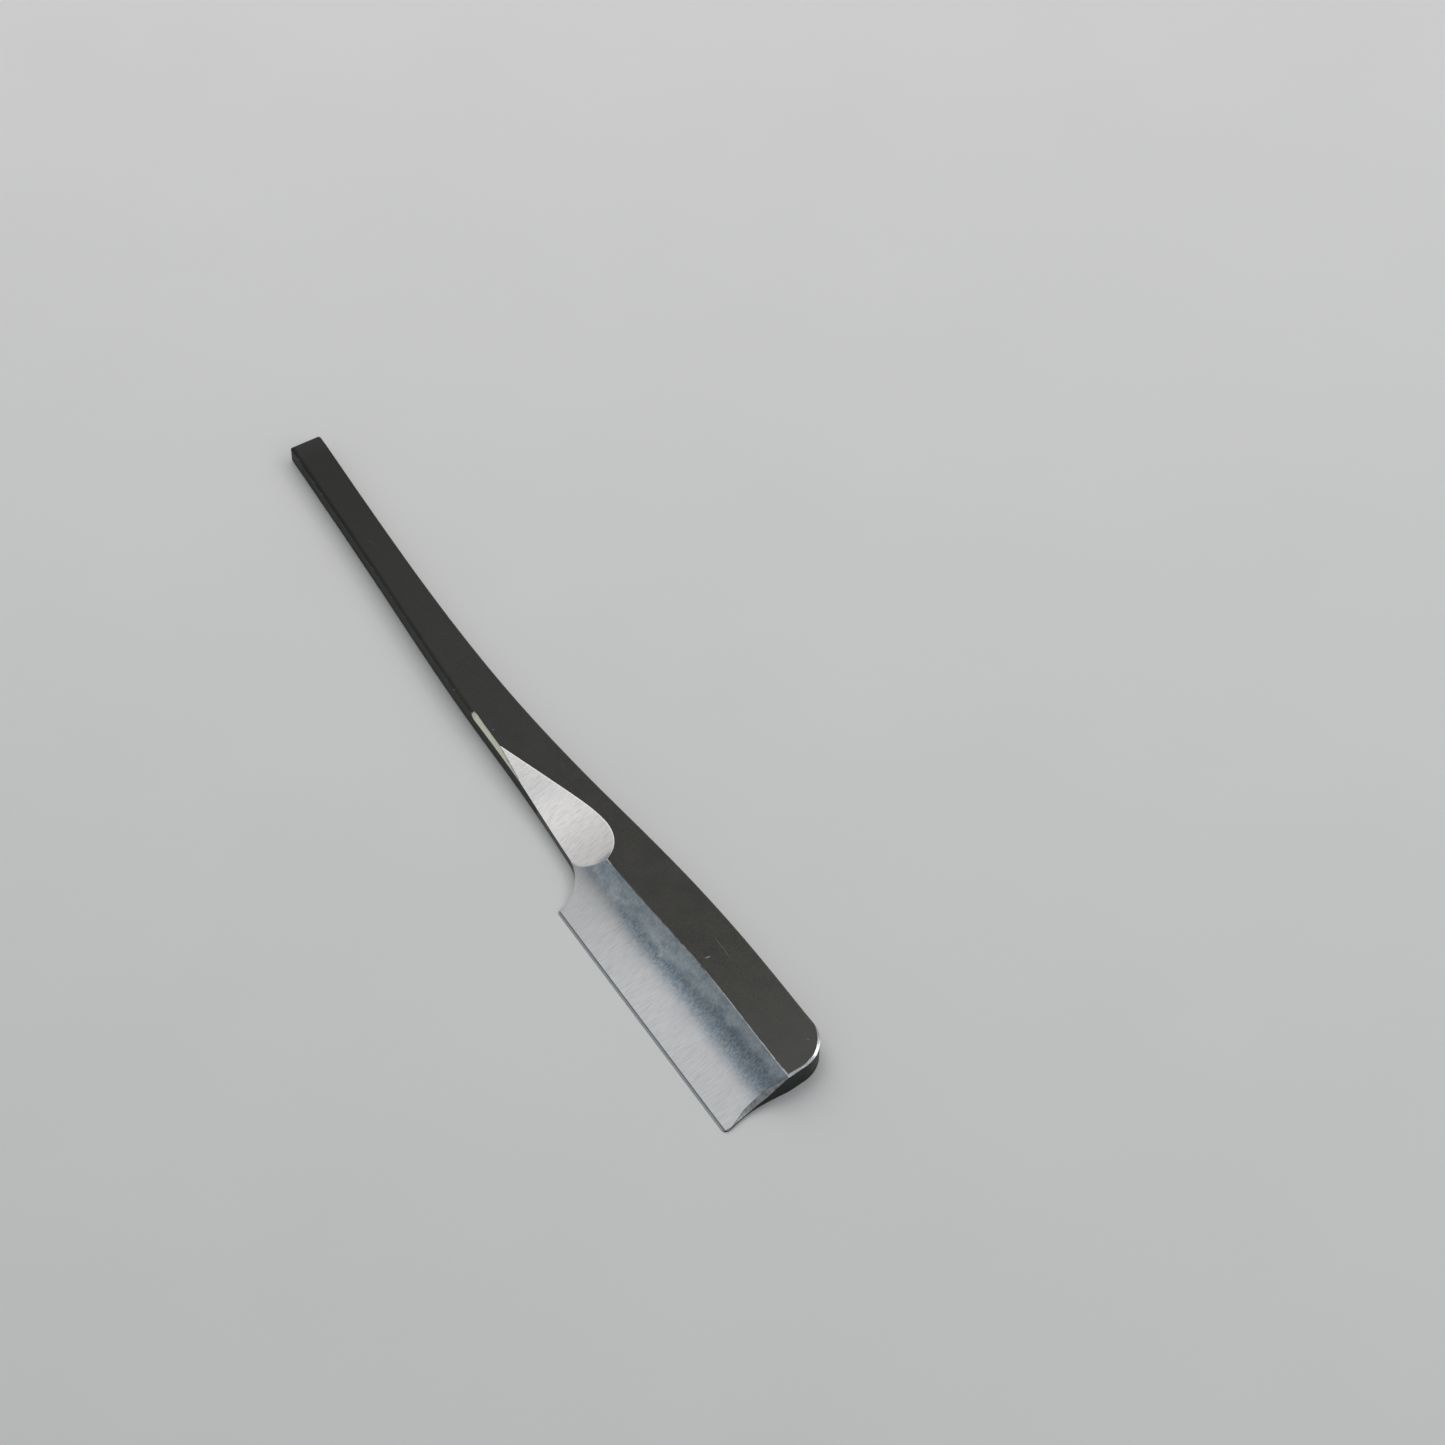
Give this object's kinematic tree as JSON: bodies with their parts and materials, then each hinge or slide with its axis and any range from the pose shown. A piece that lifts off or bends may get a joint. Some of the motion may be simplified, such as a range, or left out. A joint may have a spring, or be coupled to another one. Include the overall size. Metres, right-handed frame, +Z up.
{
  "type": "skiving knife",
  "caption": "Razor-shaped skiving knife forged in one piece with a slim bare tang handle, a hollow-ground blade with a straight edge, and a welded hard steel back.",
  "frame": {"origin": "centre of the base of the knife's bounding box, on the surface it lies on", "axes": "+X along the knife from the end of the tang to the toe, parallel to the cutting edge; +Y from the cutting edge to the spine; +Z up from the flat back to the hollow-ground front"},
  "size_m": [0.18, 0.0238, 0.0047],
  "materials": {
    "soft_iron": "matte black forge scale, with bright ground facets",
    "hard_steel": "fine ground, scratches running across the blade"
  },
  "bodies": {
    "root": {"soft_iron_body": "soft_iron", "hard_steel_layer": "hard_steel"}
  },
  "joints": []
}
